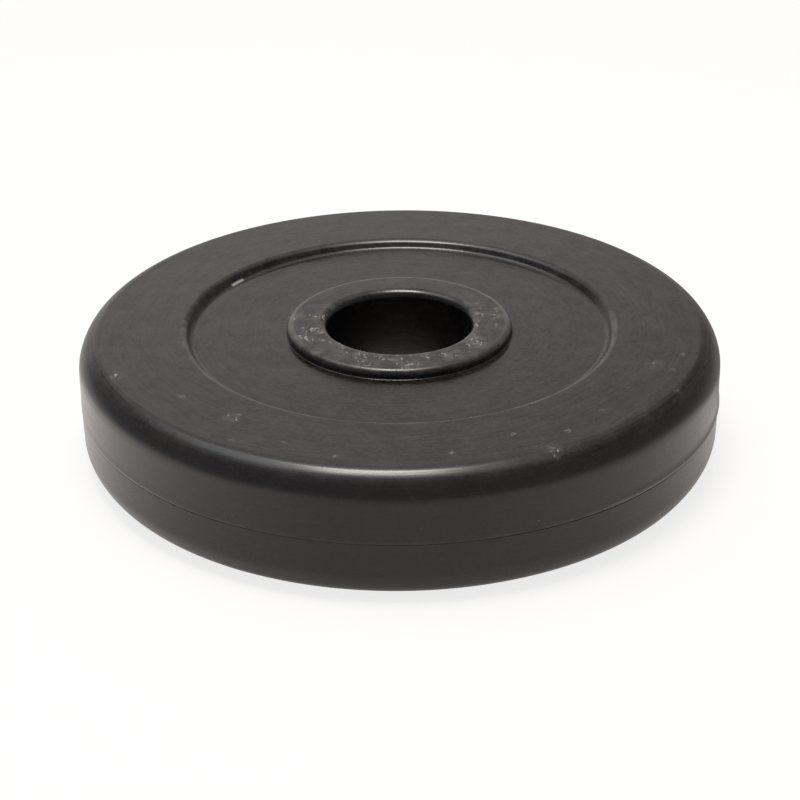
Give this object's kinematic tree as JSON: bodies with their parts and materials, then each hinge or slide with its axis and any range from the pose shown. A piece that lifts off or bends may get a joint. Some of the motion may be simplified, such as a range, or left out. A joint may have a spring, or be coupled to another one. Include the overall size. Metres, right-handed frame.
{
  "type": "weight plate",
  "caption": "Small round black plastic weight plate with a raised collar round its bore, a recessed web and a rounded rim.",
  "frame": {"origin": "the centre of the bore at mid height, which is also the middle of the plate", "axes": "+Z along the bore's axis, out of the front face; the plate lies flat on its back face, and +Y points at the filler plug's side"},
  "size_m": [0.1348, 0.1348, 0.0272],
  "materials": {
    "casing": "satin",
    "plug": "satin",
    "cement": "matte"
  },
  "bodies": {
    "root": {"front_shell": "casing", "back_shell": "casing", "ballast_ring": "cement", "filler_plug": "plug"}
  },
  "joints": []
}
